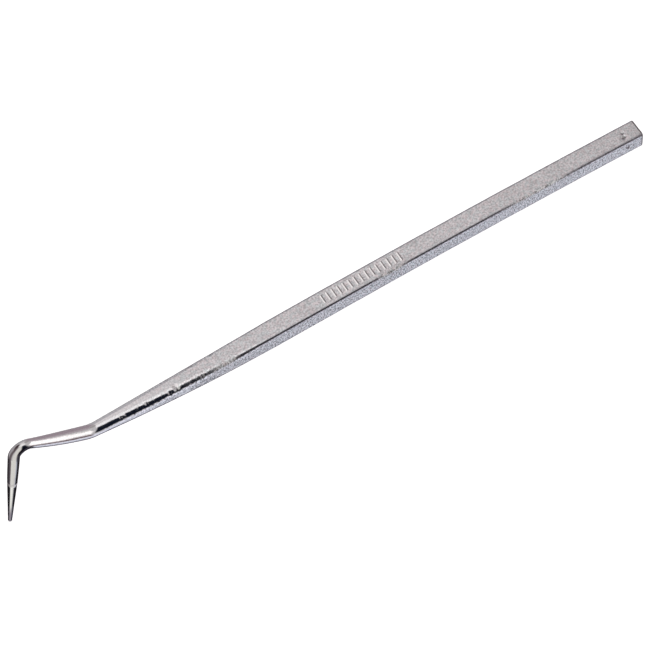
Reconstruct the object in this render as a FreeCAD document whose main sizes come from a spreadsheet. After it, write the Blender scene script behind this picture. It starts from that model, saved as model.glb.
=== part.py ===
import FreeCAD, Part
import math
import os

import Sketcher

# Bent scriber: a square steel bar drawn out to a round hooked neck, with a hard point brazed on.
#
# Frame: the origin is the centre of the butt face. +X points out of the butt, so the bar runs
# towards -X. +Z is up out of the marked face. The hook lies in the XZ plane and points down, -Z.

Vector = FreeCAD.Vector

# Driving sizes, in millimetres and degrees: (alias, value, what it is).
SIZES = [
    ("bar_width", 5.0, "across the flats of the square bar"),
    ("bar_edge_radius", 0.6, "rounding of the bar's long edges"),
    ("bar_length", 102.0, "square bar, butt to start of the drawn taper, along the bar"),
    ("bow_radius", 1850.0, "the bar is slightly bowed, convex on the marked face"),
    ("taper_length", 47.0, "drawn taper, from square to round, along the bar"),
    ("taper_lift", 5.1, "angle by which the taper curves back up"),
    ("taper_power", 2.3, "how late the taper starts to slim: 1 is a straight taper"),
    ("neck_start_diameter", 3.38, "round bar where the taper ends and the first bend starts"),
    ("first_bend_radius", 6.4, "centre-line radius of the first bend"),
    ("first_bend_angle", 24.0, "angle of the first bend, upwards"),
    ("first_bend_end_diameter", 3.4, "round bar where the first bend ends"),
    ("neck_length", 16.0, "neck between the bends, along its centre line"),
    ("neck_lift", 7.3, "angle by which the neck goes on curving up"),
    ("neck_middle_diameter", 3.04, "round bar half way along the neck"),
    ("neck_end_diameter", 2.38, "round bar where the second bend starts"),
    ("hook_bend_radius", 2.9, "centre-line radius of the second bend"),
    ("hook_bend_angle", 115.2, "angle of the second bend, downwards"),
    ("hook_bend_end_diameter", 2.84, "round bar where the second bend ends"),
    ("stem_length", 9.8, "straight slim part of the hook, second bend to joint land"),
    ("stem_middle_diameter", 2.72, "round bar half way down the stem"),
    ("stem_end_diameter", 2.44, "round bar at the joint land"),
    ("joint_land", 0.6, "short cylinder at the stem's end, where the joint is"),
    ("socket_diameter", 1.4, "blind bore in the stem that takes the point's spigot"),
    ("socket_depth", 3.2, "depth of that bore"),
    ("braze_gap", 0.1, "braze film around the spigot and above it"),
    ("braze_face_gap", 0.1, "braze between the stem's end face and the point's shoulder"),
    ("joint_chamfer_height", 0.4, "chamfer on stem and shoulder, measured along the axis"),
    ("joint_chamfer_depth", 0.15, "the same chamfer, measured across the axis"),
    ("braze_crown", 0.03, "how far the braze ring stands proud"),
    ("point_length", 16.3, "hard point, shoulder to nose"),
    ("point_shoulder_diameter", 2.38, "hard point at its shoulder"),
    ("point_nose_diameter", 1.0, "hard point where its rounded nose starts"),
    ("tick_count", 15.0, "plain cross ticks on the marked face"),
    ("tick_row_start", 66.5, "butt to first tick, along the bar"),
    ("tick_row_length", 21.0, "first tick to last tick, along the bar"),
    ("tick_length", 2.4, "each tick, across the bar"),
    ("tick_width", 0.35, "each tick, along the bar"),
    ("tick_depth", 0.12, "each tick, into the marked face"),
]

# Where the sections of the taper stand, as shares of its length.
TAPER_STATIONS = (0.0, 0.2, 0.4, 0.6, 0.8, 1.0)
# Half the angle that a split circle gives each of its four short arcs, where the flats run out.
FLAT_RUN_OUT = math.radians(6.0)
# The tick cutter starts this far above the marked face, so that it opens the face cleanly.
TICK_START_ABOVE_FACE = 0.5
# Two lengths closer than this are the same, in millimetres.
CLOSE = 1e-4
# Rounding error allowed where two brazed pieces touch, in cubic millimetres.
MOST_SHARED_VOLUME = 1e-4
# A cut may differ from its estimated volume by this share of it.
CUT_TOLERANCE = 0.1


def add_sheet(doc):
    """Put the driving sizes in a spreadsheet, one row each, and return it."""
    sheet = doc.addObject("Spreadsheet::Sheet", "sizes")
    for row, (alias, value, meaning) in enumerate(SIZES, start=1):
        sheet.set(f"A{row}", meaning)
        sheet.set(f"B{row}", str(value))
        sheet.setAlias(f"B{row}", alias)
    doc.recompute()
    return sheet


def origin_plane(body, role):
    """The body's own origin plane with that role, such as XY_Plane."""
    return next(plane for plane in body.Origin.OriginFeatures if plane.Role == role)


def flat_sketch(body, name, role):
    """An empty sketch on one of the body's origin planes."""
    sketch = body.newObject("Sketcher::SketchObject", name)
    sketch.AttachmentSupport = [(origin_plane(body, role), "")]
    sketch.MapMode = "FlatFace"
    return sketch


def section_sketch(body, name, path, edge, share):
    """An empty sketch square to one edge of a path sketch, at a share of that edge's length."""
    sketch = body.newObject("Sketcher::SketchObject", name)
    sketch.AttachmentSupport = [(path, edge)]
    sketch.MapMode = "NormalToEdge"
    sketch.MapPathParameter = share
    return sketch


def bind(sketch, constraint, name, expression):
    """Add a dimension to a sketch, name it and tie it to the sheet."""
    index = sketch.addConstraint(constraint)
    sketch.renameConstraint(index, name)
    sketch.setExpression(f"Constraints.{name}", expression)


def tie(sketch, kind, *elements):
    """Add a geometric constraint, such as Coincident or Tangent."""
    sketch.addConstraint(Sketcher.Constraint(kind, *elements))


# ---------------------------------------------------------------- the centre line

def arc_turning(start, heading, radius, turn):
    """An arc that leaves start along heading and turns by turn (anticlockwise positive).

    Returns the arc, its far end and the heading there. Headings are angles in the sketch plane.
    """
    side = 1.0 if turn > 0 else -1.0
    to_start = heading - side * math.pi / 2
    centre = start - Vector(math.cos(to_start), math.sin(to_start), 0) * radius
    to_end = to_start + turn
    end = centre + Vector(math.cos(to_end), math.sin(to_end), 0) * radius
    circle = Part.Circle(centre, Vector(0, 0, 1), radius)
    arc = Part.ArcOfCircle(circle, min(to_start, to_end), max(to_start, to_end))
    return arc, end, heading + turn


def add_centre_line(body, sheet):
    """The tool's centre line in the XZ plane, butt to brazed joint, as five arcs and a line.

    Edge1 is the bowed bar, Edge2 the taper, Edge3 the first bend, Edge4 the neck, Edge5 the second
    bend and Edge6 the stem.
    """
    sketch = flat_sketch(body, "centre_line", "XZ_Plane")
    bow_turn = sheet.bar_length / sheet.bow_radius
    taper_turn = math.radians(sheet.taper_lift)
    neck_turn = math.radians(sheet.neck_lift)
    bends = [
        (sheet.bow_radius, bow_turn),
        (sheet.taper_length / taper_turn, -taper_turn),
        (sheet.first_bend_radius, -math.radians(sheet.first_bend_angle)),
        (sheet.neck_length / neck_turn, -neck_turn),
        (sheet.hook_bend_radius, math.radians(sheet.hook_bend_angle)),
    ]
    place = Vector(0, 0, 0)
    heading = math.pi
    for radius, turn in bends:
        arc, place, heading = arc_turning(place, heading, radius, turn)
        sketch.addGeometry(arc)
    stem_end = place + Vector(math.cos(heading), math.sin(heading), 0) * sheet.stem_length
    sketch.addGeometry(Part.LineSegment(place, stem_end))

    start, end, centre = 1, 2, 3
    tie(sketch, "Coincident", 0, start, -1, 1)
    tie(sketch, "PointOnObject", 0, centre, -2)
    tie(sketch, "Tangent", 0, end, 1, end)
    tie(sketch, "Tangent", 1, start, 2, end)
    tie(sketch, "Tangent", 2, start, 3, end)
    tie(sketch, "Tangent", 3, start, 4, start)
    tie(sketch, "Tangent", 4, end, 5, start)
    radii = [
        ("bow_radius", "sizes.bow_radius"),
        ("taper_radius", "sizes.taper_length / (sizes.taper_lift * pi / 180)"),
        ("first_bend_radius", "sizes.first_bend_radius"),
        ("neck_radius", "sizes.neck_length / (sizes.neck_lift * pi / 180)"),
        ("hook_bend_radius", "sizes.hook_bend_radius"),
    ]
    turns = [
        ("bow_turn", "sizes.bar_length / sizes.bow_radius * 180 / pi * 1 deg"),
        ("taper_turn", "sizes.taper_lift * 1 deg"),
        ("first_bend_turn", "sizes.first_bend_angle * 1 deg"),
        ("neck_turn", "sizes.neck_lift * 1 deg"),
        ("hook_bend_turn", "sizes.hook_bend_angle * 1 deg"),
    ]
    for index, (radius, turn) in enumerate(bends):
        name, expression = radii[index]
        bind(sketch, Sketcher.Constraint("Radius", index, radius), name, expression)
        name, expression = turns[index]
        bind(sketch, Sketcher.Constraint("Angle", index, abs(turn)), name, expression)
    length = Sketcher.Constraint("Distance", 5, sheet.stem_length)
    bind(sketch, length, "stem_length", "sizes.stem_length")
    return sketch


# ---------------------------------------------------------------- cross sections

def add_rounded_square(sketch, width, radius, width_rule, radius_rule):
    """A square outline with rounded corners, centred on the sketch's origin."""
    half = width / 2
    flat = half - radius
    corners = [(1, 1), (-1, 1), (-1, -1), (1, -1)]
    for turn, (right, up) in enumerate(corners):
        centre = Vector(right * flat, up * flat, 0)
        circle = Part.Circle(centre, Vector(0, 0, 1), radius)
        first = turn * math.pi / 2
        sketch.addGeometry(Part.ArcOfCircle(circle, first, first + math.pi / 2))
        following = corners[(turn + 1) % 4]
        away = Vector(math.cos(first + math.pi / 2), math.sin(first + math.pi / 2), 0) * radius
        next_centre = Vector(following[0] * flat, following[1] * flat, 0)
        sketch.addGeometry(Part.LineSegment(centre + away, next_centre + away))
    for turn in range(4):
        arc = 2 * turn
        line = arc + 1
        next_arc = (arc + 2) % 8
        tie(sketch, "Tangent", arc, 2, line, 1)
        tie(sketch, "Tangent", line, 2, next_arc, 1)
    for arc in (2, 4, 6):
        tie(sketch, "Equal", 0, arc)
    tie(sketch, "Horizontal", 1)
    tie(sketch, "Vertical", 3)
    tie(sketch, "Symmetric", 0, 3, 4, 3, -1, 1)
    bind(sketch, Sketcher.Constraint("Radius", 0, radius), "corner_radius", radius_rule)
    bind(sketch, Sketcher.Constraint("DistanceX", 2, 3, 0, 3, 2 * flat), "centres_apart",
         f"({width_rule}) - 2 * ({radius_rule})")
    bind(sketch, Sketcher.Constraint("DistanceY", 6, 3, 0, 3, 2 * flat), "centres_apart_up",
         f"({width_rule}) - 2 * ({radius_rule})")


def add_split_circle(sketch, diameter, diameter_rule):
    """A circle in eight arcs, so that it pairs off with the eight edges of a rounded square."""
    radius = diameter / 2
    circle = Part.Circle(Vector(0, 0, 0), Vector(0, 0, 1), radius)
    for turn in range(4):
        first = turn * math.pi / 2 + FLAT_RUN_OUT
        last = (turn + 1) * math.pi / 2 - FLAT_RUN_OUT
        sketch.addGeometry(Part.ArcOfCircle(circle, first, last))
        sketch.addGeometry(Part.ArcOfCircle(circle, last, last + 2 * FLAT_RUN_OUT))
    for arc in range(8):
        tie(sketch, "Coincident", arc, 3, -1, 1)
    for arc in range(7):
        tie(sketch, "Coincident", arc, 2, arc + 1, 1)
        span = 2 * FLAT_RUN_OUT if arc % 2 else math.pi / 2 - 2 * FLAT_RUN_OUT
        sketch.addConstraint(Sketcher.Constraint("Angle", arc, span))
    tie(sketch, "Horizontal", 7, 2, 0, 1)
    tie(sketch, "Vertical", 7, 1, 0, 1)
    bind(sketch, Sketcher.Constraint("Radius", 0, radius), "radius", f"({diameter_rule}) / 2")


def add_circle(sketch, diameter, diameter_rule):
    """A plain circle, centred on the sketch's origin."""
    sketch.addGeometry(Part.Circle(Vector(0, 0, 0), Vector(0, 0, 1), diameter / 2))
    tie(sketch, "Coincident", 0, 3, -1, 1)
    bind(sketch, Sketcher.Constraint("Diameter", 0, diameter), "diameter", diameter_rule)


# ---------------------------------------------------------------- scriber_body

def add_bar(body, sheet):
    """The bowed square bar, turned about the bow's own axis so that its faces are exact."""
    section = flat_sketch(body, "bar_section", "YZ_Plane")
    add_rounded_square(section, sheet.bar_width, sheet.bar_edge_radius,
                       "sizes.bar_width", "sizes.bar_edge_radius")
    half = sheet.bar_width / 2
    bow_axis = Part.LineSegment(Vector(-half, -sheet.bow_radius, 0),
                                Vector(half, -sheet.bow_radius, 0))
    axis = section.addGeometry(bow_axis, True)
    tie(section, "Symmetric", axis, 1, axis, 2, -2)
    bind(section, Sketcher.Constraint("DistanceX", axis, 1, axis, 2, sheet.bar_width),
         "axis_length", "sizes.bar_width")
    bind(section, Sketcher.Constraint("DistanceY", axis, 1, -1, 1, sheet.bow_radius),
         "axis_drop", "sizes.bow_radius")
    bar = body.newObject("PartDesign::Revolution", "bar")
    bar.Profile = section
    bar.ReferenceAxis = (section, ["Axis0"])
    bar.setExpression("Angle", "sizes.bar_length / sizes.bow_radius * 180 / pi")
    bar.Reversed = True
    return bar


def taper_rules(share):
    """The width and corner radius of the taper at a share of its length, as sheet expressions."""
    slimmed = f"(sizes.bar_width - sizes.neck_start_diameter) * {share} ^ sizes.taper_power"
    width = f"sizes.bar_width - {slimmed}"
    edge_share = "2 * sizes.bar_edge_radius / sizes.bar_width"
    radius = f"({width}) / 2 * ({edge_share} + (1 - {edge_share}) * {share})"
    return width, radius


def taper_sizes(sheet, share):
    """The same width and corner radius as numbers, to start the section's sketch from."""
    slimmed = (sheet.bar_width - sheet.neck_start_diameter) * share ** sheet.taper_power
    width = sheet.bar_width - slimmed
    edge_share = 2 * sheet.bar_edge_radius / sheet.bar_width
    return width, width / 2 * (edge_share + (1 - edge_share) * share)


def add_taper(body, sheet, path):
    """The drawn taper: the flats narrow and the corners grow until the bar is round."""
    sections = []
    for share in TAPER_STATIONS:
        name = f"taper_section_{len(sections) + 1}"
        # Edge2 runs from the neck to the bar, so its start is the taper's far end.
        section = section_sketch(body, name, path, "Edge2", 1.0 - share)
        width, radius = taper_sizes(sheet, share)
        if share < 1.0:
            add_rounded_square(section, width, radius, *taper_rules(share))
        else:
            add_split_circle(section, width, "sizes.neck_start_diameter")
        sections.append(section)
    taper = body.newObject("PartDesign::AdditiveLoft", "taper")
    taper.Profile = sections[0]
    taper.Sections = sections[1:]
    taper.Ruled = False


def add_round_sweep(body, sheet, path, name, edge, stations):
    """Sweep round bar along one edge of the centre line.

    Each station is a share of the edge's length and the name of the bar's diameter there.
    """
    sections = []
    for share, size in stations:
        section = section_sketch(body, f"{name}_section_{len(sections) + 1}", path, edge, share)
        add_circle(section, getattr(sheet, size), f"sizes.{size}")
        sections.append(section)
    sweep = body.newObject("PartDesign::AdditivePipe", name)
    sweep.Profile = sections[0]
    sweep.Spine = (path, [edge])
    sweep.Sections = sections[1:]
    sweep.Mode = "Frenet"
    sweep.Transformation = "Multisection"


def add_hook(body, sheet, path):
    """The round part: first bend, neck, second bend and stem."""
    add_round_sweep(body, sheet, path, "first_bend", "Edge3", [
        (1.0, "neck_start_diameter"),
        (0.0, "first_bend_end_diameter"),
    ])
    add_round_sweep(body, sheet, path, "neck", "Edge4", [
        (1.0, "first_bend_end_diameter"),
        (0.5, "neck_middle_diameter"),
        (0.0, "neck_end_diameter"),
    ])
    add_round_sweep(body, sheet, path, "hook_bend", "Edge5", [
        (0.0, "neck_end_diameter"),
        (1.0, "hook_bend_end_diameter"),
    ])
    add_round_sweep(body, sheet, path, "stem", "Edge6", [
        (0.0, "hook_bend_end_diameter"),
        (0.5, "stem_middle_diameter"),
        (1.0, "stem_end_diameter"),
    ])


def add_joint_land(body, sheet, path):
    """The short cylinder that ends the stem."""
    section = section_sketch(body, "joint_land_section", path, "Edge6", 1.0)
    add_circle(section, sheet.stem_end_diameter, "sizes.stem_end_diameter")
    land = body.newObject("PartDesign::Pad", "joint_land")
    land.Profile = section
    land.setExpression("Length", "sizes.joint_land")
    land.Reversed = True


def add_socket(body, sheet, path):
    """The blind bore in the end of the stem."""
    mouth = section_sketch(body, "socket_mouth", path, "Edge6", 1.0)
    mouth.setExpression("AttachmentOffset.Base.z", "-sizes.joint_land")
    add_circle(mouth, sheet.socket_diameter, "sizes.socket_diameter")
    socket = body.newObject("PartDesign::Pocket", "socket")
    socket.Profile = mouth
    socket.setExpression("Length", "sizes.socket_depth")
    socket.Reversed = True


def round_edge(shape, centre, radius):
    """The name of the shape's closed round edge with that centre and radius."""
    for index, edge in enumerate(shape.Edges, start=1):
        offset = edge.CenterOfMass.distanceToPoint(centre)
        if offset < CLOSE and abs(edge.Length - 2 * math.pi * radius) < CLOSE:
            return f"Edge{index}"
    raise RuntimeError("no round edge there")


def add_stem_chamfer(body, sheet, stem_end):
    """The chamfer round the stem's end that makes room for the braze."""
    rim = round_edge(body.Tip.Shape, stem_end, sheet.stem_end_diameter / 2)
    base = body.Tip
    chamfer = body.newObject("PartDesign::Chamfer", "stem_chamfer")
    chamfer.Base = (base, [rim])
    chamfer.ChamferType = "Two distances"
    chamfer.setExpression("Size", "sizes.joint_chamfer_height")
    chamfer.setExpression("Size2", "sizes.joint_chamfer_depth")


def add_tick_outline(body, sheet):
    """The rectangle of one cross tick, square to the bow just above the marked face."""
    outline = flat_sketch(body, "tick_outline", "XY_Plane")
    angle = "sizes.tick_row_start / sizes.bow_radius * 180 / pi * 1 deg"
    radius = f"(sizes.bow_radius + sizes.bar_width / 2 + {TICK_START_ABOVE_FACE})"
    place = f"vector(-{radius} * sin({angle}); 0; {radius} * cos({angle}) - sizes.bow_radius)"
    outline.setExpression("AttachmentOffset",
                          f"placement({place}; rotation(vector(0; 1; 0); -({angle})))")
    across = sheet.tick_length / 2
    along = sheet.tick_width / 2
    corners = [Vector(-along, -across, 0), Vector(along, -across, 0),
               Vector(along, across, 0), Vector(-along, across, 0)]
    for index, corner in enumerate(corners):
        outline.addGeometry(Part.LineSegment(corner, corners[(index + 1) % 4]))
    for index in range(4):
        tie(outline, "Coincident", index, 2, (index + 1) % 4, 1)
    tie(outline, "Horizontal", 0)
    tie(outline, "Vertical", 1)
    tie(outline, "Horizontal", 2)
    tie(outline, "Vertical", 3)
    bind(outline, Sketcher.Constraint("DistanceX", 0, 1, 0, 2, 2 * along), "width",
         "sizes.tick_width")
    bind(outline, Sketcher.Constraint("DistanceY", 1, 1, 1, 2, 2 * across), "length",
         "sizes.tick_length")
    bind(outline, Sketcher.Constraint("DistanceX", 0, 1, -1, 1, along), "half_width",
         "sizes.tick_width / 2")
    bind(outline, Sketcher.Constraint("DistanceY", 0, 1, -1, 1, across), "half_length",
         "sizes.tick_length / 2")
    return outline


def add_ticks(body, sheet, bow_section):
    """A row of plain cross ticks in the marked face, patterned about the bow's axis."""
    tick = body.newObject("PartDesign::Pocket", "tick")
    tick.Profile = add_tick_outline(body, sheet)
    tick.setExpression("Length", f"sizes.tick_depth + {TICK_START_ABOVE_FACE}")
    row = body.newObject("PartDesign::PolarPattern", "tick_row")
    row.Originals = [tick]
    row.Axis = (bow_section, ["Axis0"])
    row.setExpression("Angle", "sizes.tick_row_length / sizes.bow_radius * 180 / pi")
    row.setExpression("Occurrences", "sizes.tick_count")
    row.Reversed = True
    body.Tip = row


def recompute_and_check(doc, body, expected, what):
    """Recompute, and stop unless the body lost about the expected volume."""
    before = body.Shape.Volume
    doc.recompute()
    removed = before - body.Shape.Volume
    if abs(removed - expected) > CUT_TOLERANCE * expected:
        raise RuntimeError(f"{what} removed {removed:.3f} mm3, not {expected:.3f} mm3")


def build_scriber_body(doc, sheet):
    """The one-piece forged steel body. Returns it with the placement of its brazed joint."""
    body = doc.addObject("PartDesign::Body", "scriber_body")
    body.Label = "scriber_body"
    path = add_centre_line(body, sheet)
    doc.recompute()
    bar = add_bar(body, sheet)
    add_taper(body, sheet, path)
    add_hook(body, sheet, path)
    add_joint_land(body, sheet, path)
    doc.recompute()

    joint = joint_placement(sheet, path)
    add_stem_chamfer(body, sheet, joint.Base)
    # The chamfer takes off a triangle, turned round on its centroid.
    triangle = sheet.joint_chamfer_depth * sheet.joint_chamfer_height / 2
    centroid_radius = sheet.stem_end_diameter / 2 - sheet.joint_chamfer_depth / 3
    recompute_and_check(doc, body, 2 * math.pi * centroid_radius * triangle, "the stem chamfer")

    add_socket(body, sheet, path)
    bore = math.pi * (sheet.socket_diameter / 2) ** 2 * sheet.socket_depth
    recompute_and_check(doc, body, bore, "the socket")

    add_ticks(body, sheet, bar.Profile[0])
    one_tick = sheet.tick_length * sheet.tick_width * sheet.tick_depth
    recompute_and_check(doc, body, one_tick * sheet.tick_count, "the tick row")
    return body, joint


# ---------------------------------------------------------------- the brazed joint

def joint_placement(sheet, path):
    """Where the joint's own frame sits: on the end of the stem, +Z up into the stem."""
    stem = path.Geometry[5]
    up = path.Placement.multVec(stem.StartPoint) - path.Placement.multVec(stem.EndPoint)
    up.normalize()
    end = path.Placement.multVec(stem.EndPoint) - up * sheet.joint_land
    tilt = math.degrees(math.atan2(up.x, up.z))
    return FreeCAD.Placement(end, FreeCAD.Rotation(Vector(0, 1, 0), tilt))


def add_corner(sketch, line, end, name, across, across_rule, height, height_rule):
    """Dimension one corner of an outline from the joint's axis and from the stem's end face.

    A rule of "0" puts the corner on the axis, or level with the end face.
    """
    if across_rule == "0":
        tie(sketch, "PointOnObject", line, end, -2)
    else:
        constraint = Sketcher.Constraint("DistanceX", -1, 1, line, end, across)
        bind(sketch, constraint, f"{name}_across", across_rule)
    if height_rule == "0":
        tie(sketch, "PointOnObject", line, end, -1)
    else:
        constraint = Sketcher.Constraint("DistanceY", -1, 1, line, end, height)
        bind(sketch, constraint, f"{name}_height", height_rule)


def add_corner_lines(sketch, corners):
    """Straight lines from each corner of an open outline to the next, all dimensioned.

    A corner is (name, across, across_rule, height, height_rule). Returns the corners as points.
    """
    points = [Vector(across, height, 0) for _, across, _, height, _ in corners]
    for start, end in zip(points, points[1:]):
        sketch.addGeometry(Part.LineSegment(start, end))
    for line in range(1, len(points) - 1):
        tie(sketch, "Coincident", line - 1, 2, line, 1)
    for index, corner in enumerate(corners[:-1]):
        add_corner(sketch, index, 1, *corner)
    add_corner(sketch, len(corners) - 2, 2, *corners[-1])
    return points


def joint_body(doc, name, joint):
    """An empty body that stands in the brazed joint's own frame."""
    body = doc.addObject("PartDesign::Body", name)
    body.Label = name
    body.Placement = joint
    return body


def turn_profile(body, profile, name):
    """Turn a profile a full circle about the joint's axis."""
    solid = body.newObject("PartDesign::Revolution", name)
    solid.Profile = profile
    solid.ReferenceAxis = (profile, ["V_Axis"])
    solid.Angle = 360


def build_hard_point(doc, sheet, joint):
    """The hard point: a spigot, a chamfered shoulder and a long slim cone with a round nose."""
    body = joint_body(doc, "hard_point", joint)
    profile = flat_sketch(body, "point_profile", "XZ_Plane")
    spigot = sheet.socket_diameter / 2 - sheet.braze_gap
    spigot_rule = "sizes.socket_diameter / 2 - sizes.braze_gap"
    top = sheet.socket_depth - sheet.braze_gap
    top_rule = "sizes.socket_depth - sizes.braze_gap"
    face = -sheet.braze_face_gap
    face_rule = "-sizes.braze_face_gap"
    shoulder = sheet.point_shoulder_diameter / 2
    shoulder_rule = "sizes.point_shoulder_diameter / 2"
    chamfer_foot = face - sheet.joint_chamfer_height
    points = add_corner_lines(profile, [
        ("spigot_top", 0, "0", top, top_rule),
        ("spigot_rim", spigot, spigot_rule, top, top_rule),
        ("spigot_foot", spigot, spigot_rule, face, face_rule),
        ("shoulder_face", shoulder - sheet.joint_chamfer_depth,
         f"{shoulder_rule} - sizes.joint_chamfer_depth", face, face_rule),
        ("shoulder", shoulder, shoulder_rule, chamfer_foot,
         f"{face_rule} - sizes.joint_chamfer_height"),
    ])
    nose = sheet.point_nose_diameter / 2
    nose_centre = Vector(0, face - sheet.point_length + nose, 0)
    to_shoulder = points[-1] - nose_centre
    toe_angle = math.atan2(to_shoulder.y, to_shoulder.x) - math.acos(nose / to_shoulder.Length)
    cone_end = nose_centre + Vector(math.cos(toe_angle), math.sin(toe_angle), 0) * nose
    circle = Part.Circle(nose_centre, Vector(0, 0, 1), nose)
    cone = profile.addGeometry(Part.LineSegment(points[-1], cone_end))
    arc = profile.addGeometry(Part.ArcOfCircle(circle, -math.pi / 2, toe_angle))
    apex = nose_centre - Vector(0, nose, 0)
    core = profile.addGeometry(Part.LineSegment(apex, points[0]))
    tie(profile, "Coincident", cone - 1, 2, cone, 1)
    tie(profile, "Tangent", cone, 2, arc, 2)
    tie(profile, "PointOnObject", arc, 3, -2)
    tie(profile, "Coincident", arc, 1, core, 1)
    tie(profile, "Coincident", core, 2, 0, 1)
    tie(profile, "Vertical", core)
    bind(profile, Sketcher.Constraint("Radius", arc, nose), "nose_radius",
         "sizes.point_nose_diameter / 2")
    bind(profile, Sketcher.Constraint("DistanceY", arc, 1, -1, 1, -apex.y), "apex_drop",
         "sizes.braze_face_gap + sizes.point_length")
    turn_profile(body, profile, "point")
    return body


def build_braze_ring(doc, sheet, joint):
    """The braze: a film round the spigot that ends outside in a ring between two chamfers."""
    body = joint_body(doc, "braze_ring", joint)
    profile = flat_sketch(body, "braze_profile", "XZ_Plane")
    bore = sheet.socket_diameter / 2
    spigot_rule = "sizes.socket_diameter / 2 - sizes.braze_gap"
    film_top = sheet.socket_depth - sheet.braze_gap
    film_top_rule = "sizes.socket_depth - sizes.braze_gap"
    stem = sheet.stem_end_diameter / 2
    shoulder = sheet.point_shoulder_diameter / 2
    face = -sheet.braze_face_gap
    points = add_corner_lines(profile, [
        ("lower_rim", shoulder, "sizes.point_shoulder_diameter / 2",
         face - sheet.joint_chamfer_height, "-sizes.braze_face_gap - sizes.joint_chamfer_height"),
        ("lower_foot", shoulder - sheet.joint_chamfer_depth,
         "sizes.point_shoulder_diameter / 2 - sizes.joint_chamfer_depth",
         face, "-sizes.braze_face_gap"),
        ("spigot_foot", bore - sheet.braze_gap, spigot_rule, face, "-sizes.braze_face_gap"),
        ("spigot_rim", bore - sheet.braze_gap, spigot_rule, film_top, film_top_rule),
        ("spigot_top", 0, "0", film_top, film_top_rule),
        ("bore_end", 0, "0", sheet.socket_depth, "sizes.socket_depth"),
        ("bore_rim", bore, "sizes.socket_diameter / 2", sheet.socket_depth, "sizes.socket_depth"),
        ("bore_mouth", bore, "sizes.socket_diameter / 2", 0, "0"),
        ("upper_foot", stem - sheet.joint_chamfer_depth,
         "sizes.stem_end_diameter / 2 - sizes.joint_chamfer_depth", 0, "0"),
        ("upper_rim", stem, "sizes.stem_end_diameter / 2",
         sheet.joint_chamfer_height, "sizes.joint_chamfer_height"),
    ])
    lower, upper = points[0], points[-1]
    chord = upper - lower
    outward = Vector(chord.y, -chord.x, 0).normalize()
    crown_top = (upper + lower) / 2 + outward * sheet.braze_crown
    arc = profile.addGeometry(Part.Arc(lower, crown_top, upper))
    last_line = arc - 1
    tie(profile, "Coincident", arc, 1, 0, 1)
    tie(profile, "Coincident", arc, 2, last_line, 2)
    band = "(2 * sizes.joint_chamfer_height + sizes.braze_face_gap)"
    step = "((sizes.stem_end_diameter - sizes.point_shoulder_diameter) / 2)"
    crown = "sizes.braze_crown"
    radius_rule = f"(({band} ^ 2 + {step} ^ 2) / 4 + {crown} ^ 2) / (2 * {crown})"
    radius = ((chord.Length / 2) ** 2 + sheet.braze_crown ** 2) / (2 * sheet.braze_crown)
    bind(profile, Sketcher.Constraint("Radius", arc, radius), "crown_radius", radius_rule)
    turn_profile(body, profile, "braze")
    return body


# ---------------------------------------------------------------- checks and files

def check_document(doc, bodies):
    """Stop if any object failed, or if a piece is not one valid solid."""
    for item in doc.Objects:
        if "Invalid" in item.State or "Error" in item.State:
            raise RuntimeError(f"{item.Name} failed: {item.State}")
    for body in bodies:
        shape = body.Shape
        if shape.isNull() or not shape.isValid() or len(shape.Solids) != 1:
            raise RuntimeError(f"{body.Label} is not one valid solid")


def check_clearances(bodies):
    """Stop if two pieces share volume: brazed faces touch, and no more."""
    for index, first in enumerate(bodies):
        for second in bodies[index + 1:]:
            shared = first.Shape.common(second.Shape).Volume
            if shared > MOST_SHARED_VOLUME:
                raise RuntimeError(f"{first.Label} and {second.Label} share {shared:.4f} mm3")


def main():
    doc = FreeCAD.newDocument("scriber")
    sheet = add_sheet(doc)
    scriber_body, joint = build_scriber_body(doc, sheet)
    hard_point = build_hard_point(doc, sheet, joint)
    braze_ring = build_braze_ring(doc, sheet, joint)
    doc.recompute()
    bodies = [scriber_body, hard_point, braze_ring]
    check_document(doc, bodies)
    check_clearances(bodies)
    os.makedirs("parts", exist_ok=True)
    for body in bodies:
        body.Shape.exportStep(f"parts/{body.Label}.step")
        print(body.Label, body.Shape.Volume, body.Shape.BoundBox)


main()
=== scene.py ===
import math

import bmesh
import bpy
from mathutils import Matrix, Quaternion, Vector, noise


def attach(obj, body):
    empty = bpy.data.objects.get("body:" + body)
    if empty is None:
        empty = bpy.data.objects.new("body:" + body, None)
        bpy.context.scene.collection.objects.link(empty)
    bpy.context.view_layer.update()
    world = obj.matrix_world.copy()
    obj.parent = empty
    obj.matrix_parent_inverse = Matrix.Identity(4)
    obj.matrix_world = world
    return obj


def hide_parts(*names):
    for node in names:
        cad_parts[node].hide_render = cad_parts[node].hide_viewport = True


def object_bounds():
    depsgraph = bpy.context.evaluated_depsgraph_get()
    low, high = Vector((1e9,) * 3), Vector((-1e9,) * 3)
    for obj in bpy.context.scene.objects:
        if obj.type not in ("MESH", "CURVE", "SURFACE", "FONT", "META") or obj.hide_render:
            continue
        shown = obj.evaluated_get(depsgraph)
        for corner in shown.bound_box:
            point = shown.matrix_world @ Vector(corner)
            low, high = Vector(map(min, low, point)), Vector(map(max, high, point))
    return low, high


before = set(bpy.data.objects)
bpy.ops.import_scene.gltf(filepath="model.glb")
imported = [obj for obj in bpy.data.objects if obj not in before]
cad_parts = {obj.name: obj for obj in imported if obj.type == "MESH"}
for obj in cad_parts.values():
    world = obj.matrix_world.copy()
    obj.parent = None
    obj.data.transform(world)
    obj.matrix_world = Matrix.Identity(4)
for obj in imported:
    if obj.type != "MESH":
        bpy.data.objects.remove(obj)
cad_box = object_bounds()

MM = 0.001

# ---------------------------------------------------------------- sizes, in millimetres

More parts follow.
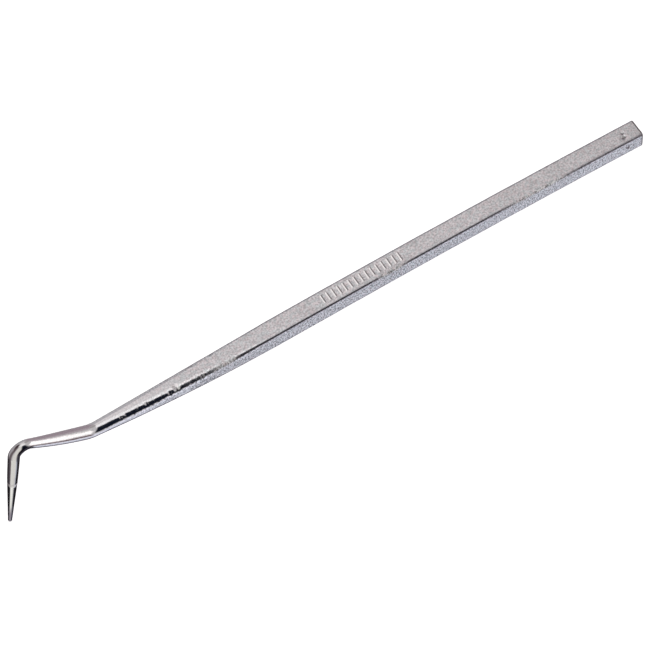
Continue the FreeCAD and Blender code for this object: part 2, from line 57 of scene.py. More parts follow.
BAR_WIDTH = 5.0
BAR_CORNER_SHARE = 0.24
BAR_LENGTH = 102.0
BOW_RADIUS = 1850.0
TAPER_LENGTH = 47.0
TAPER_LIFT = 5.1
TAPER_POWER = 2.3
FIRST_BEND_RADIUS = 6.4
FIRST_BEND_ANGLE = 24.0
NECK_LENGTH = 16.0
NECK_LIFT = 7.3
HOOK_BEND_RADIUS = 2.9
HOOK_BEND_ANGLE = 115.2
STEM_LENGTH = 9.8
JOINT_LAND = 0.6
NECK_START_DIAMETER = 3.38
FIRST_BEND_END_DIAMETER = 3.4
NECK_MIDDLE_DIAMETER = 3.04
NECK_END_DIAMETER = 2.38
HOOK_BEND_END_DIAMETER = 2.84
STEM_MIDDLE_DIAMETER = 2.72
STEM_END_DIAMETER = 2.44
SOCKET_DIAMETER = 1.4
SOCKET_DEPTH = 3.2
BRAZE_GAP = 0.1
JOINT_CHAMFER_HEIGHT = 0.4
JOINT_CHAMFER_DEPTH = 0.15
BRAZE_CROWN = 0.03
POINT_LENGTH = 16.3
POINT_SHOULDER_DIAMETER = 2.38
POINT_NOSE_DIAMETER = 1.0

TICK_COUNT = 15
TICK_ROW_START = 66.5
TICK_ROW_LENGTH = 21.0
TICK_LENGTH = 2.4
TICK_CUT_WIDTH = 0.12
TICK_CUT_DEPTH = 0.12
TICK_END_SOFTNESS = 0.15
TICK_BURR_RISE = 0.26
TICK_BURR_FALL = 0.12
TICK_BURR_HEIGHT = 0.10

# Points above this share of the half width belong to the marked face.
FLAT_TOP_SHARE = 0.98

# Each tick gets a painted highlight stroke on its burr and a painted shadow on the side away from
# the burr.
TICK_BRIGHT_WIDTH = 0.23
TICK_SHADOW_PLACE = -0.12
TICK_SHADOW_WIDTH = 0.12
TICK_SHADOW_SHARE = 0.8

# Waviness left by the forging and polishing: length, spread in degrees round the bar, and height.
WAVE_LENGTH = 7.0
WAVE_SPREAD = 50.0
WAVE_HEIGHT = 0.03
RIPPLE_LENGTH = 1.3
RIPPLE_SPREAD = 25.0
RIPPLE_HEIGHT = 0.009

# The relief starts and is full at these distances from the butt face, and from the joint.
BUTT_CLEARANCE = 0.1
BUTT_SETTLED = 1.5
JOINT_CLEARANCE = 0.3
JOINT_SETTLED = 2.0

# The plating goes from satin to bright between these distances from the butt.
BRIGHT_START = 118.0
BRIGHT_END = 150.0

# The butt: rings on its face by their share of the full section, then its softened edge as
# (depth from the face, share of the full section).
BUTT_FACE_SHARES = (0.02, 0.3, 0.6, 0.84, 0.88)
BUTT_BEVEL = [(0.02, 0.915), (0.08, 0.955), (0.17, 0.982), (0.28, 0.996)]

# Knocks on the surface: (distance from the butt, direction in degrees from the marked face towards
# the -Y side, length, spread in degrees, depth, how much darker the bottom of it is coloured).
BRUISES = [
    (4.2, -8.0, 0.40, 7.0, 0.26, 0.8),
    (4.6, 19.0, 0.55, 9.0, 0.32, 1.0),
    (4.1, 96.0, 0.42, 8.0, 0.26, 1.0),
    (7.6, 30.0, 0.30, 5.0, 0.08, 0.6),
    (22.0, 118.0, 0.35, 6.0, 0.08, 0.6),
    (113.3, 40.0, 0.5, 12.0, 0.16, 0.0),
    (117.1, -43.0, 0.7, 8.0, 0.12, 0.6),
    (122.9, -43.0, 0.8, 8.0, 0.14, 0.8),
    (121.5, 47.0, 0.45, 10.0, 0.05, 0.0),
    (128.2, 36.0, 0.7, 16.0, 0.20, 0.0),
    (130.2, 47.0, 0.40, 12.0, 0.12, 0.0),
    (136.0, 38.0, 0.5, 14.0, 0.07, 0.0),
    (143.0, 45.0, 0.30, 12.0, 0.06, 0.0),
]

# A knock is left out beyond this many lengths from its middle.
BRUISE_REACH = 3

# The darker colour covers this share of a knock's size.
DENT_DARK_SIZE = 0.8

# Ripples left by the grinder along the corner below the marked face, on the taper.
CHATTER_LENGTH = 0.9
CHATTER_TURN = 30.0
CHATTER_HEIGHT = 0.06
CHATTER_SPREAD = 22.0
CHATTER_START = BAR_LENGTH + 8.0
CHATTER_FULL = BAR_LENGTH + 20.0
CHATTER_FADE = 144.0
CHATTER_END = 149.0

# Each kind of unevenness is read from its own layer of the noise.
WAVE_LAYER = 0.0
RIPPLE_LAYER = 5.0
CHATTER_LAYER = 9.0

# Directions round the section are in degrees from the marked face towards the -Y side.
FRONT_CORNER = 45.0
DULL_SPREAD = 9.0
DULL_GAIN_ALONG = 1.5
DULL_GAIN_ROUND = 1.6

# The polished corners start at this share of the flat and are full at this share of the corner.
POLISH_START_SHARE = 0.96
POLISH_FULL_SHARE = 0.25

# The band of painted shade on either side of each corner of the bar, in from the flats.
ARRIS_START = 0.68
ARRIS_FULL = 0.36

# The hook's own colour and its painted silhouette shade fade in over this length past the neck.
HOOK_FADE = 2.2

# Painted shade on the inside of the hook: the neck darkens a little on its way to the bend, and the
# shade reaches furthest round the section in the middle of the bend.
NECK_SHADE = 0.3
NECK_SHADE_START = 12.0
NECK_SHADE_FULL = 2.0
INSIDE_START = 1.2
INSIDE_FULL = 0.4
INSIDE_DIRECTION = 92.0
INSIDE_REACH = 39.0
INSIDE_SOFTNESS = 9.0
INSIDE_MIDDLE = 2.3
INSIDE_LENGTH = 2.5

# The end of a turned profile stops at this share of its radius, short of the axis.
CORE_SHARE = 0.02
TURNED_SIDES = 64
CONE_STEPS = 60
NOSE_STEPS = 12
RING_STEPS = 12

# Where the corner below the marked face is dull instead of polished: (distance, half length).
DULL_CORNERS = [
    (29.5, 7.0),
    (70.0, 3.2),
    (115.6, 2.4),
]


# ---------------------------------------------------------------- the centre line

def centre_line_parts():
    """The centre line as (length, turn in radians), butt to the end of the stem."""
    return [
        (BAR_LENGTH, -BAR_LENGTH / BOW_RADIUS),
        (TAPER_LENGTH, math.radians(TAPER_LIFT)),
        (FIRST_BEND_RADIUS * math.radians(FIRST_BEND_ANGLE), math.radians(FIRST_BEND_ANGLE)),
        (NECK_LENGTH, math.radians(NECK_LIFT)),
        (HOOK_BEND_RADIUS * math.radians(HOOK_BEND_ANGLE), -math.radians(HOOK_BEND_ANGLE)),
        (STEM_LENGTH + JOINT_LAND, 0.0),
    ]


PARTS = centre_line_parts()
ENDS = [sum(length for length, _ in PARTS[:count]) for count in range(len(PARTS) + 1)]
BAR_END, TAPER_END, BEND_END, NECK_END, HOOK_END, STEM_END = ENDS[1:]


def centre_line(along):
    """The centre line's place (x, z) and heading at a distance from the butt, in millimetres."""
    x = z = heading = 0.0
    for length, turn in PARTS:
        step = min(along, length)
        share = step / length
        if turn:
            radius = length / turn
            after = heading + turn * share
            x -= radius * (math.sin(after) - math.sin(heading))
            z -= radius * (math.cos(after) - math.cos(heading))
            heading = after
        else:
            x -= step * math.cos(heading)
            z += step * math.sin(heading)
        along -= step
        if along <= 0:
            break
    return x, z, heading


def frame_at(along):
    """The centre line's place, the marked face's direction and the way onwards, as vectors."""
    x, z, heading = centre_line(along)
    origin = Vector((x, 0.0, z))
    up = Vector((math.sin(heading), 0.0, math.cos(heading)))
    onward = Vector((-math.cos(heading), 0.0, math.sin(heading)))
    return origin, up, onward


# ---------------------------------------------------------------- cross sections

def through(first, middle, last, share):
    """A smooth curve through three values."""
    bulge = middle - (first + last) / 2
    return first + (last - first) * share + 4 * bulge * share * (1 - share)


def width_at(along):
    """Width of the bar, or diameter where it is round."""
    if along <= BAR_END:
        return BAR_WIDTH
    if along <= TAPER_END:
        share = (along - BAR_END) / TAPER_LENGTH
        return BAR_WIDTH - (BAR_WIDTH - NECK_START_DIAMETER) * share ** TAPER_POWER
    if along <= BEND_END:
        share = (along - TAPER_END) / (BEND_END - TAPER_END)
        return NECK_START_DIAMETER + (FIRST_BEND_END_DIAMETER - NECK_START_DIAMETER) * share
    if along <= NECK_END:
        share = (along - BEND_END) / NECK_LENGTH
        return through(FIRST_BEND_END_DIAMETER, NECK_MIDDLE_DIAMETER, NECK_END_DIAMETER, share)
    if along <= HOOK_END:
        share = (along - NECK_END) / (HOOK_END - NECK_END)
        return NECK_END_DIAMETER + (HOOK_BEND_END_DIAMETER - NECK_END_DIAMETER) * share
    if along <= HOOK_END + STEM_LENGTH:
        share = (along - HOOK_END) / STEM_LENGTH
        return through(HOOK_BEND_END_DIAMETER, STEM_MIDDLE_DIAMETER, STEM_END_DIAMETER, share)
    return STEM_END_DIAMETER


def corner_share_at(along):
    """Corner radius over half the width: 1 is a circle."""
    share = min(max((along - BAR_END) / TAPER_LENGTH, 0.0), 1.0)
    return BAR_CORNER_SHARE + (1 - BAR_CORNER_SHARE) * share


# Points along each flat, the marked face first, and round each corner. They are placed as if the
# corners were at most this round.
FLAT_STEPS = (20, 8, 8, 8)
CORNER_STEPS = 9
ROUNDEST_REFERENCE = 0.75


def section_angles(corner_share):
    """Polar angles of a section's points, closest together round the corners."""
    corner = min(corner_share, ROUNDEST_REFERENCE)
    flat = 1 - corner
    angles = []
    for side, steps in enumerate(FLAT_STEPS):
        middle = math.pi / 2 - side * math.pi / 2
        for step in range(steps):
            offset = -flat + 2 * flat * step / steps
            angles.append(middle - math.atan2(offset, 1.0))
        for step in range(CORNER_STEPS):
            turn = math.pi / 2 * step / CORNER_STEPS
            across = flat + corner * math.sin(turn)
            up = flat + corner * math.cos(turn)
            angles.append(middle - math.atan2(across, up))
    return angles


def ray_to_section(angle, corner_share):
    """Distance from the centre to a rounded square of half-width 1, along a polar angle."""
    across = abs(math.cos(angle))
    up = abs(math.sin(angle))
    flat = 1 - corner_share
    reach = 1 / max(across, up)
    if min(across, up) * reach <= flat:
        return reach
    towards = flat * (across + up)
    beyond = 2 * flat * flat - corner_share * corner_share
    return towards + math.sqrt(max(towards * towards - beyond, 0.0))


def section_points(along):
    """Points (across, up) of the section there, in millimetres."""
    corner_share = corner_share_at(along)
    half = width_at(along) / 2
    points = []
    for angle in section_angles(corner_share):
        reach = half * ray_to_section(angle, corner_share)
        points.append((reach * math.cos(angle), reach * math.sin(angle)))
    return points


# ---------------------------------------------------------------- meshes

def ring_mesh(name, rings):
    """A closed surface through rings of points, each ring joined to the next."""
    mesh = bpy.data.meshes.new(name)
    count = len(rings[0])
    vertices = [Vector(point) * MM for ring in rings for point in ring]
    faces = []
    for row in range(len(rings) - 1):
        for column in range(count):
            following = (column + 1) % count
            faces.append((row * count + column, row * count + following,
                          (row + 1) * count + following, (row + 1) * count + column))
    faces.append(tuple(reversed(range(count))))
    last = (len(rings) - 1) * count
    faces.append(tuple(range(last, last + count)))
    mesh.from_pydata(vertices, [], faces)
    mesh.validate()
    surface = bmesh.new()
    surface.from_mesh(mesh)
    bmesh.ops.recalc_face_normals(surface, faces=surface.faces)
    surface.to_mesh(mesh)
    surface.free()
    item = bpy.data.objects.new(name, mesh)
    bpy.context.scene.collection.objects.link(item)
    return item


def smooth(item, angle=35.0):
    """Shade an item smooth, with its edges sharper than the angle kept."""
    for polygon in item.data.polygons:
        polygon.use_smooth = True
    item.data.set_sharp_from_angle(angle=math.radians(angle))


def steps_between(start, end, step):
    """Evenly spaced values from start up to, but not including, end."""
    count = max(1, round((end - start) / step))
    return [start + (end - start) * index / count for index in range(count)]


def body_stations():
    """Distances from the butt at which the body gets a ring, closest where there is detail."""
    bevel_end = 0.4
    knocks_end = 8.0
    ticks_start = TICK_ROW_START - 1.0
    ticks_end = TICK_ROW_START + TICK_ROW_LENGTH + 1.0
    plain, tapered, stem, bend, tick = 0.4, 0.15, 0.2, 0.12, 0.0584
    stations = steps_between(bevel_end, knocks_end, bend)
    stations += steps_between(knocks_end, ticks_start, plain)
    stations += steps_between(ticks_start, ticks_end, tick)
    stations += steps_between(ticks_end, BAR_END, plain)
    stations += steps_between(BAR_END, TAPER_END, tapered)
    stations += steps_between(TAPER_END, HOOK_END, bend)
    stations += steps_between(HOOK_END, STEM_END - JOINT_CHAMFER_HEIGHT, stem)
    return stations


def smoothstep(low, high, value):
    """0 up to low, 1 from high on, and smooth between them."""
    share = min(max((value - low) / (high - low), 0.0), 1.0)
    return share * share * (3 - 2 * share)


def bell(offset, width):
    """1 at no offset, falling smoothly to almost nothing at twice the width."""
    return math.exp(-(offset / width) ** 2)


def tick_offset(along):
    """Distance from the bottom of the nearest tick, or None away from the row of ticks."""
    pitch = TICK_ROW_LENGTH / (TICK_COUNT - 1)
    nearest = round((along - TICK_ROW_START) / pitch)
    if not 0 <= nearest < TICK_COUNT:
        return None
    return along - TICK_ROW_START - nearest * pitch


def in_tick_length(across):
    """1 along a tick, falling softly to 0 at its two ends."""
    end = TICK_LENGTH / 2
    return 1 - smoothstep(end - TICK_END_SOFTNESS, end + TICK_END_SOFTNESS, abs(across))


def tick_relief(along, across):
    """Height of the row of ticks: each is a cut with a burr thrown up on the side of the hook."""
    offset = tick_offset(along)
    if offset is None:
        return 0.0
    cut = TICK_CUT_DEPTH * max(0.0, 1 - abs(offset) / TICK_CUT_WIDTH)
    past_crest = offset - TICK_CUT_WIDTH - TICK_BURR_RISE
    slope = TICK_BURR_FALL if past_crest > 0 else TICK_BURR_RISE
    burr = TICK_BURR_HEIGHT * max(0.0, 1 - abs(past_crest) / slope)
    return (burr - cut) * in_tick_length(across)


def direction(across, height):
    """Direction round the section in degrees, from the marked face towards the -Y side."""
    return math.degrees(math.atan2(-across, height))


def uneven(along, turn, length, spread, layer):
    """Noise from about -1 to 1 that changes over a length of bar and a spread in degrees."""
    return noise.noise(Vector((along / length, turn / spread, layer)))


def relief(along, turn):
    """How far the surface stands out at a place, in millimetres, apart from the ticks."""
    rise = WAVE_HEIGHT * uneven(along, turn, WAVE_LENGTH, WAVE_SPREAD, WAVE_LAYER)
    rise += RIPPLE_HEIGHT * uneven(along, turn, RIPPLE_LENGTH, RIPPLE_SPREAD, RIPPLE_LAYER)
    for where, facing, length, spread, depth, _ in BRUISES:
        if abs(along - where) < BRUISE_REACH * length:
            rise -= depth * bell(along - where, length) * bell(turn - facing, spread)
    ground = smoothstep(CHATTER_START, CHATTER_FULL, along)
    ground *= 1 - smoothstep(CHATTER_FADE, CHATTER_END, along)
    from_corner = turn - FRONT_CORNER
    if ground > 0 and abs(from_corner) < 45:
        chatter = uneven(along, turn, CHATTER_LENGTH, CHATTER_TURN, CHATTER_LAYER)
        rise += CHATTER_HEIGHT * chatter * ground * bell(from_corner, CHATTER_SPREAD)
    return rise


def dent_darkening(along, across, height):
    """Up to 1 in the bottom of a knock, where the colour is darker."""
    turn = direction(across, height)
    most = 0.0
    for where, facing, length, spread, _, share in BRUISES:
        if abs(along - where) < BRUISE_REACH * length:
            near = bell(along - where, length * DENT_DARK_SIZE) * bell(turn - facing, spread * DENT_DARK_SIZE)
            most = max(most, share * near)
    return most


def body_ring(along):
    """One ring of the body, with the forging's waviness, knocks and ticks."""
    origin, up, _ = frame_at(along)
    half = width_at(along) / 2
    settled = smoothstep(BUTT_CLEARANCE, BUTT_SETTLED, along)
    settled *= smoothstep(JOINT_CLEARANCE, JOINT_SETTLED, STEM_END - along)
    ring = []
    for across, height in section_points(along):
        reach = math.hypot(across, height)
        rise = settled * relief(along, direction(across, height))
        if height > half * FLAT_TOP_SHARE:
            rise += tick_relief(along, across)
        scale = 1 + rise / reach
        ring.append(origin + Vector((0.0, across * scale, 0.0)) + up * height * scale)
    return ring


def edge_share(along, across, height):
    """1 on a corner of the square bar, 0 in the middle of a flat."""
    half = width_at(along) / 2
    flat = half * (1 - corner_share_at(along))
    start = flat * POLISH_START_SHARE
    full = flat + (half - flat) * POLISH_FULL_SHARE
    return smoothstep(start, full, min(abs(across), abs(height)))


def joint_frame():
    """The end face of the stem: its centre, a direction across it and the direction up the stem."""
    origin, up, onward = frame_at(STEM_END)
    return origin, up, -onward


def turned_ring(radius, height):
    """A ring about the joint's axis; height is measured up into the stem from its end face."""
    origin, aside, axis = joint_frame()
    ring = []
    for index in range(TURNED_SIDES):
        angle = math.pi / 2 - 2 * math.pi * index / TURNED_SIDES
        out = Vector((0.0, math.cos(angle), 0.0)) + aside * math.sin(angle)
        ring.append(origin + out * radius + axis * height)
    return ring


def butt_rings():
    """Rings from the middle of the butt face out over its softened edge."""
    origin, up, onward = frame_at(0.0)
    levels = [(0.0, share) for share in BUTT_FACE_SHARES] + BUTT_BEVEL
    rings = []
    for depth, share in levels:
        centre = origin + onward * depth
        rings.append([centre + Vector((0.0, across * share, 0.0)) + up * height * share
                      for across, height in section_points(0.0)])
    return rings


def socket_rings():
    """Rings down the stem's chamfer, over its end face and into the socket."""
    stem = STEM_END_DIAMETER / 2
    bore = SOCKET_DIAMETER / 2
    profile = [
        (stem, JOINT_CHAMFER_HEIGHT),
        (stem - JOINT_CHAMFER_DEPTH, 0.0),
        (bore, 0.0),
        (bore, SOCKET_DEPTH),
        (bore * CORE_SHARE, SOCKET_DEPTH),
    ]
    angles = section_angles(1.0)
    origin, aside, axis = joint_frame()
    rings = []
    for radius, height in profile:
        rings.append([origin + Vector((0.0, math.cos(angle), 0.0)) * radius
                      + aside * math.sin(angle) * radius + axis * height for angle in angles])
    return rings


def make_body():
    rings = butt_rings() + [body_ring(along) for along in body_stations()] + socket_rings()
    item = ring_mesh("steel_body", rings)
    smooth(item)
    add_finish(item, rings)
    return item


def dullness(along, across, height):
    """1 where the corner below the marked face is dull."""
    from_corner = direction(across, height) - FRONT_CORNER
    along_share = sum(bell(along - where, length) for where, length in DULL_CORNERS)
    round_share = bell(from_corner, DULL_SPREAD)
    return min(1.0, DULL_GAIN_ALONG * along_share) * min(1.0, DULL_GAIN_ROUND * round_share)


def arris_shade(along, across, height):
    """1 in the narrow band of painted shade on either side of each corner of the bar."""
    half = width_at(along) / 2
    return smoothstep(half - ARRIS_START, half - ARRIS_FULL, min(abs(across), abs(height)))


def hook_inside_shade(along, across, height):
    """1 on the inside of the hook, where shade is painted."""
    turn = abs(direction(across, height))
    past_neck = along - NECK_END
    start = INSIDE_DIRECTION - INSIDE_REACH * bell(past_neck - INSIDE_MIDDLE, INSIDE_LENGTH)
    share = NECK_SHADE * smoothstep(-NECK_SHADE_START, -NECK_SHADE_FULL, past_neck)
    share += (1 - NECK_SHADE) * smoothstep(-INSIDE_START, INSIDE_FULL, past_neck)
    return share * smoothstep(start - INSIDE_SOFTNESS, start + INSIDE_SOFTNESS, turn)


def tick_mark(along, across, height, middle, width):
    """1 at a distance of middle from the bottom of each tick, fading over the width."""
    offset = tick_offset(along)
    if offset is None or height < width_at(along) / 2 * FLAT_TOP_SHARE:
        return 0.0
    return bell(offset - middle, width) * in_tick_length(across)


def finish_at(along, across, height, on_side, rim_shade):
    """The numbers that the material reads, by name, for one point of the body."""
    bright = smoothstep(BRIGHT_START, BRIGHT_END, along)
    dull = dullness(along, across, height)
    burr_middle = TICK_CUT_WIDTH + TICK_BURR_RISE / 2
    shadow = tick_mark(along, across, height, TICK_SHADOW_PLACE, TICK_SHADOW_WIDTH)
    return {
        "bright": bright,
        "edge": on_side * edge_share(along, across, height),
        "dull": dull,
        "hook": smoothstep(NECK_END, NECK_END + HOOK_FADE, along),
        # Painted shade round the butt's softened edge.
        "rim_shade": rim_shade,
        # Painted highlight on the burrs of the ticks.
        "burr_glint": tick_mark(along, across, height, burr_middle, TICK_BRIGHT_WIDTH),
        # Painted shadow beside each tick, and darker colour in the bottoms of knocks.
        "dark": max(TICK_SHADOW_SHARE * shadow, dent_darkening(along, across, height)),
        # Painted shade in a narrow band beside each corner.
        "arris_shade": on_side * arris_shade(along, across, height) * (1 - bright) * (1 - dull),
        # Painted shade on the inside of the hook.
        "inner_shade": hook_inside_shade(along, across, height),
    }


def add_finish(item, rings):
    """Numbers on each vertex that the material reads."""
    on_butt = len(BUTT_FACE_SHARES) + len(BUTT_BEVEL)
    rim_start = len(BUTT_FACE_SHARES) - 1
    distances = [0.0] * on_butt + body_stations()
    distances += [STEM_END] * (len(rings) - len(distances))
    points = []
    for place, along in enumerate(distances):
        # Painted shade on the outer ring of the butt face and its softened edge.
        rim_shade = 1.0 if rim_start <= place <= on_butt else 0.0
        on_side = 1.0 if place >= rim_start else 0.0
        for across, height in section_points(along):
            points.append(finish_at(along, across, height, on_side, rim_shade))
    for name in points[0]:
        values = [point[name] for point in points]
        layer = item.data.attributes.new(name, "FLOAT", "POINT")
        values += [0.0] * (len(layer.data) - len(values))
        layer.data.foreach_set("value", values)


def turned(name, profile):
    """A solid turned about the joint's axis from a profile of (radius, height)."""
    rings = [turned_ring(radius, height) for radius, height in profile]
    item = ring_mesh(name, rings)
    smooth(item)
    return item


def nose_profile(shoulder, start, tip):
    """The point's straight cone and the round nose that it runs into without a step."""
    nose = POINT_NOSE_DIAMETER / 2
    centre = tip + nose
    reach = math.hypot(shoulder, start - centre)
    toe = math.atan2(start - centre, shoulder) - math.acos(nose / reach)
    cone_end = nose * math.cos(toe)
    cone_foot = centre + nose * math.sin(toe)
    profile = []
    for index in range(CONE_STEPS):
        share = index / CONE_STEPS
        radius = shoulder + (cone_end - shoulder) * share
        profile.append((radius, start + (cone_foot - start) * share))
    for index in range(NOSE_STEPS):
        angle = toe - (toe + math.pi / 2) * index / NOSE_STEPS
        profile.append((nose * math.cos(angle), centre + nose * math.sin(angle)))
    profile.append((nose * CORE_SHARE, tip))
    return profile


def make_point():
    shoulder = POINT_SHOULDER_DIAMETER / 2
    spigot = SOCKET_DIAMETER / 2 - BRAZE_GAP
    spigot_top = SOCKET_DEPTH - BRAZE_GAP
    face = -BRAZE_GAP
    profile = [
        (spigot * CORE_SHARE, spigot_top),
        (spigot, spigot_top),
        (spigot, face),
        (shoulder - JOINT_CHAMFER_DEPTH, face),
    ]
    profile += nose_profile(shoulder, face - JOINT_CHAMFER_HEIGHT, face - POINT_LENGTH)
    return turned("point", profile)


def make_ring():
    bore = SOCKET_DIAMETER / 2
    spigot = bore - BRAZE_GAP
    spigot_top = SOCKET_DEPTH - BRAZE_GAP
    stem = STEM_END_DIAMETER / 2
    shoulder = POINT_SHOULDER_DIAMETER / 2
    face = -BRAZE_GAP
    top = JOINT_CHAMFER_HEIGHT
    bottom = face - JOINT_CHAMFER_HEIGHT
    profile = [
        (bore * CORE_SHARE, SOCKET_DEPTH),
        (bore, SOCKET_DEPTH),
        (bore, 0.0),
        (stem - JOINT_CHAMFER_DEPTH, 0.0),
    ]
    for index in range(RING_STEPS + 1):
        share = index / RING_STEPS
        radius = stem + (shoulder - stem) * share + 4 * BRAZE_CROWN * share * (1 - share)
        profile.append((radius, top + (bottom - top) * share))
    profile += [
        (shoulder - JOINT_CHAMFER_DEPTH, face),
        (spigot, face),
        (spigot, spigot_top),
        (spigot * CORE_SHARE, spigot_top),
    ]
    return turned("braze", profile)


# ---------------------------------------------------------------- materials

class Graph:
    """Short ways to add nodes to a material or world and wire them up."""

    def __init__(self, tree):
        self.tree = tree

    def feed(self, socket, value):
        """Link a node's output to a socket, or set the socket to a number or colour."""
        if isinstance(value, bpy.types.NodeSocket):
            self.tree.links.new(value, socket)
        elif hasattr(socket.default_value, "__len__") and len(socket.default_value) == 4:
            socket.default_value = (*value, 1.0)
        else:
            socket.default_value = value

    def node(self, kind, **settings):
        """Add a node with some of its settings."""
        made = self.tree.nodes.new(kind)
        for name, value in settings.items():
            setattr(made, name, value)
        return made

    def math(self, operation, first, second=0.0):
        made = self.node("ShaderNodeMath", operation=operation)
        self.feed(made.inputs[0], first)
        self.feed(made.inputs[1], second)
        return made.outputs[0]

    def dot(self, vector, axis):
        made = self.node("ShaderNodeVectorMath", operation="DOT_PRODUCT")
        self.feed(made.inputs[0], vector)
        made.inputs[1].default_value = axis
        return made.outputs["Value"]

    def ramp(self, value, low, high, start=0.0, end=1.0):
        """Smoothly from start to end as value goes from low to high."""
        made = self.node("ShaderNodeMapRange", interpolation_type="SMOOTHSTEP")
        self.feed(made.inputs["Value"], value)
        made.inputs["From Min"].default_value = low
        made.inputs["From Max"].default_value = high
        self.feed(made.inputs["To Min"], start)
        self.feed(made.inputs["To Max"], end)
        return made.outputs["Result"]

    def mix(self, share, first, second):
        """Mix two colours."""
        made = self.node("ShaderNodeMix", data_type="RGBA")
        self.feed(made.inputs["Factor"], share)
        self.feed(made.inputs["A"], first)
        self.feed(made.inputs["B"], second)
        return made.outputs["Result"]

    def blend(self, share, first, second):
        """Mix two numbers."""
        made = self.node("ShaderNodeMix", data_type="FLOAT")
        self.feed(made.inputs["Factor"], share)
        self.feed(made.inputs["A"], first)
        self.feed(made.inputs["B"], second)
        return made.outputs["Result"]

    def scaled(self, colour, amount):
        """A colour times a number."""
        made = self.node("ShaderNodeVectorMath", operation="SCALE")
        self.feed(made.inputs[0], colour)
        self.feed(made.inputs["Scale"], amount)
        return made.outputs["Vector"]

    def noise(self, size, detail=2.0, stretch=(1.0, 1.0, 1.0), seed=0.0):
        """Noise with features of about size millimetres, about 0.5 on average."""
        coordinate = self.node("ShaderNodeTexCoord")
        mapping = self.node("ShaderNodeMapping")
        mapping.inputs["Scale"].default_value = stretch
        mapping.inputs["Location"].default_value = (seed, seed, seed)
        self.tree.links.new(coordinate.outputs["Object"], mapping.inputs["Vector"])
        made = self.node("ShaderNodeTexNoise")
        made.inputs["Scale"].default_value = 1 / (size * MM)
        made.inputs["Detail"].default_value = detail
        self.tree.links.new(mapping.outputs["Vector"], made.inputs["Vector"])
        return made.outputs["Fac"]

    def object_height(self):
        """Height in the shared frame, in metres."""
        coordinate = self.node("ShaderNodeTexCoord")
        return self.dot(coordinate.outputs["Object"], (0.0, 0.0, 1.0))

    def sideways(self):
        """How far the surface faces sideways: 0 on the marked face, 1 on a side."""
        geometry = self.node("ShaderNodeNewGeometry")
        return self.math("ABSOLUTE", self.dot(geometry.outputs["Normal"], (0.0, 1.0, 0.0)))

    def facing(self):
        """0 where the surface faces the camera squarely, 1 at its silhouette."""
        weight = self.node("ShaderNodeLayerWeight")
        weight.inputs["Blend"].default_value = 0.5
        return weight.outputs["Facing"]

    def attribute(self, name):
        return self.node("ShaderNodeAttribute", attribute_name=name).outputs["Fac"]

    def bump(self, height, depth, under=None):
        """Bump from a height of 0 to 1 that stands for depth in millimetres."""
        made = self.node("ShaderNodeBump")
        self.feed(made.inputs["Height"], height)
        self.feed(made.inputs["Distance"], depth * MM)
        if under is not None:
            self.feed(made.inputs["Normal"], under)
        return made.outputs["Normal"]


# Painted glow that the tick burrs give off, standing in for their glint.
PAINTED_GLOW = 0.5
PAINTED_GLOW_COLOUR = (1.0, 0.97, 0.96)


def metal(name, colour, roughness, normal, matt_and_glow=None):
    """A metal made by functions of its graph; matt_and_glow gives the share that isn't mirror-like
    and has a painted glow.
    """
    material = bpy.data.materials.new(name)
    material.use_nodes = True
    graph = Graph(material.node_tree)
    shader = material.node_tree.nodes["Principled BSDF"]
    shader.inputs["Metallic"].default_value = 1.0
    graph.feed(shader.inputs["Base Color"], colour(graph))
    graph.feed(shader.inputs["Roughness"], roughness(graph))
    graph.feed(shader.inputs["Normal"], normal(graph))
    if matt_and_glow:
        share = matt_and_glow(graph)
        graph.feed(shader.inputs["Metallic"], graph.math("SUBTRACT", 1.0, share))
        # Painted glow in the share that isn't mirror-like.
        graph.feed(shader.inputs["Emission Strength"], graph.math("MULTIPLY", share, PAINTED_GLOW))
        graph.feed(shader.inputs["Emission Color"], PAINTED_GLOW_COLOUR)
    return material


SATIN_COLOUR = (0.83, 0.775, 0.785)
COOL_COLOUR = (0.74, 0.765, 0.775)
BRIGHT_COLOUR = (0.79, 0.775, 0.785)
# Colour of the painted tick shadows and of the darker knock bottoms.
TICK_SHADOW_AND_DENT_COLOUR = (0.17, 0.14, 0.14)
# Colour of the painted shade on the butt's softened edge.
RIM_SHADE_COLOUR = (0.07, 0.06, 0.06)
# Colour of the painted shade towards the bar's silhouette.
OUTLINE_SHADE_COLOUR = (0.30, 0.26, 0.29)
# Colour of the painted shade beside the corners.
ARRIS_SHADE_COLOUR = (0.27, 0.245, 0.275)
HOOK_COLOUR = (0.73, 0.72, 0.715)
# Colour of the painted shade towards the hook's silhouette.
HOOK_OUTLINE_SHADE_COLOUR = (0.18, 0.16, 0.19)
# Colour of the painted shade inside the hook.
HOOK_INSIDE_SHADE_COLOUR = (0.035, 0.03, 0.04)
# Painted highlight colour of the tick burrs.
BURR_GLINT_COLOUR = (1.0, 0.98, 0.97)
POLISHED_ROUGHNESS = 0.12
BURR_ROUGHNESS = 0.30
DULL_ROUGHNESS = 0.62
# Share of the tick burrs that isn't mirror-like and carries the painted highlight and glow.
MATT_AND_GLINT_SHARE = 0.9


def paint_silhouette_shade(graph, colour, outline, start, end, amount):
    """Painted shade: darken a colour towards the silhouette, as polished round metal looks on white
    paper.
    """
    edge = graph.ramp(graph.facing(), start, end)
    return graph.mix(graph.math("MULTIPLY", edge, amount), colour, outline)


def painted_glint_share(graph):
    """How strongly the painted highlight on the tick burrs shows: not at all from a low angle."""
    faced = graph.ramp(graph.facing(), 0.36, 0.50, 1.0, 0.0)
    return graph.math("MULTIPLY", graph.attribute("burr_glint"), faced)


def marked(graph, name, share, under, over):
    """Lay a colour over another where the named number on the mesh says so."""
    return graph.mix(graph.math("MULTIPLY", graph.attribute(name), share), under, over)


